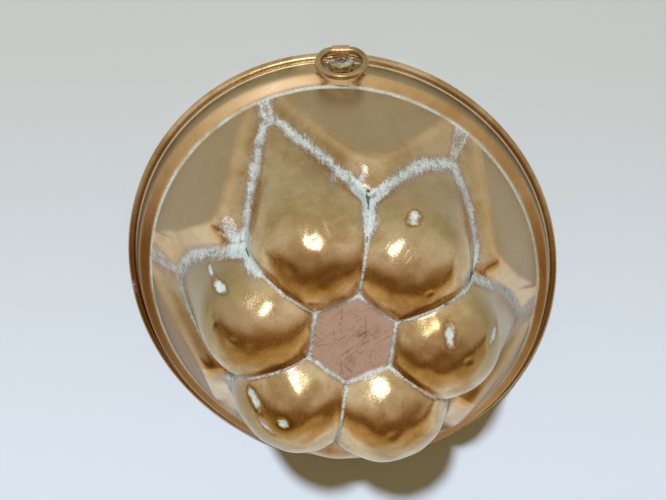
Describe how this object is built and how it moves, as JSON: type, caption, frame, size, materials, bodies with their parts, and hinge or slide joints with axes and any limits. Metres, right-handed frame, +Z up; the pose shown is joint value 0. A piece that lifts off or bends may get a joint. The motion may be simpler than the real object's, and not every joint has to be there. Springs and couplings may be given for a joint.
{
  "type": "cake mould",
  "caption": "Pressed copper cake mould with rounded lobes round a flat centre, pointed outer towers, a wired rim and a hanging ring.",
  "frame": {"origin": "centre of the mould's mouth, in the plane the rim stands on", "axes": "+Z up through the crown with the mould standing on its rim, +Y from the centre toward the hanging ring, X along the ring's hinge line"},
  "size_m": [0.21, 0.2139, 0.1065],
  "materials": {
    "copper": "polished copper, worn and tarnished brown",
    "brass": "dull, with pale green residue",
    "iron": "plain drawn wire"
  },
  "bodies": {
    "mould": {"mould_shell": "copper", "rim_wire": "iron", "hanger_strap": "brass", "hanger_rosette": "brass", "hanger_rivet": "brass", "rivet_burr": "brass"},
    "ring": {"hanger_ring": "brass"}
  },
  "joints": [
    {"name": "ring_hinge", "type": "hinge", "parent": "mould", "child": "ring", "pos_m": [0, 0.1065, 0.00678], "axis": [-1, 0, 0], "range_deg": [0, 200]}
  ]
}
